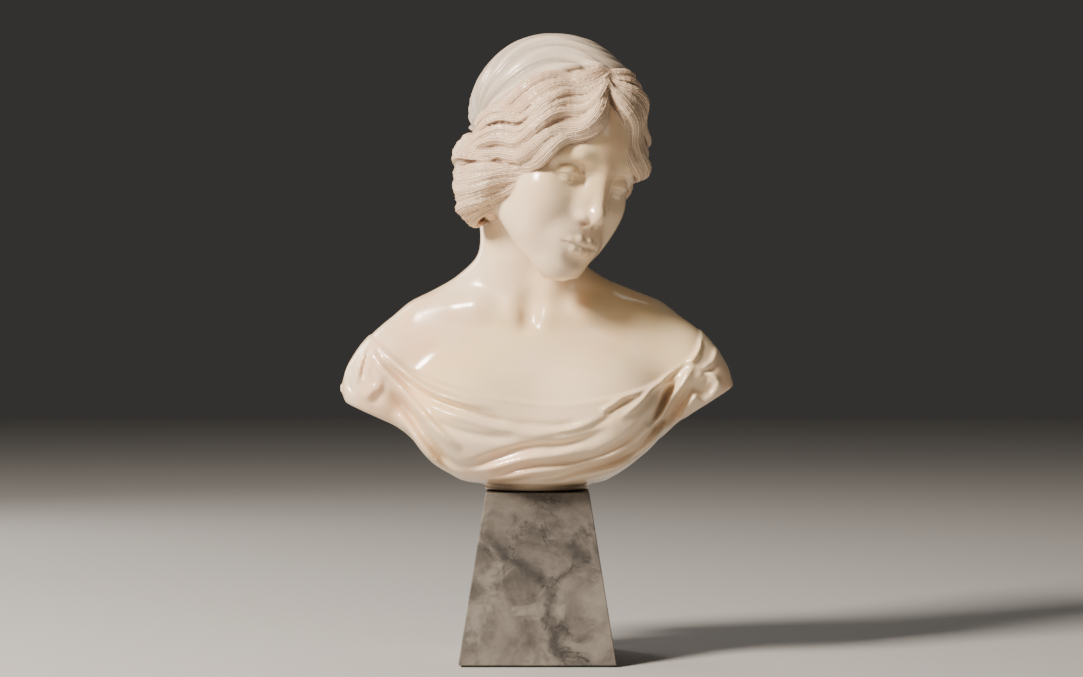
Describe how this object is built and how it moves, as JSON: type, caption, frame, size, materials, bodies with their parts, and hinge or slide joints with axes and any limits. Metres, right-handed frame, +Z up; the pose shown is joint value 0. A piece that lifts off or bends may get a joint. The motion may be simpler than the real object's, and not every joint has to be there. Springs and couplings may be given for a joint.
{
  "type": "marble bust",
  "caption": "Carved marble bust of a young woman in a headscarf and draped bodice, clamped on a tapered pedestal of veined marble.",
  "frame": {"origin": "centre of the felt's underside, on the surface the bust stands on", "axes": "+Z up, the trunk faces -Y, +X towards the figure's own left arm"},
  "size_m": [0.308, 0.1633, 0.4914],
  "materials": {
    "carved_marble": "polished",
    "veined_marble": "satin",
    "plaster": "matte",
    "steel": "satin",
    "felt": "matte",
    "leather": "satin"
  },
  "bodies": {
    "pedestal": {"pedestal": "veined_marble", "felt_base": "felt"},
    "bust": {"bust": "carved_marble", "rod_grout": "plaster", "tie_rod": "steel", "bedding_felt": "felt", "leather_washer": "leather", "plate_washer": "steel", "clamp_nut": "steel"}
  },
  "joints": [
    {"name": "bust_turn", "type": "hinge", "parent": "pedestal", "child": "bust", "pos_m": [0, 0, 0.1335], "axis": [0, 0, 1], "continuous": true}
  ]
}
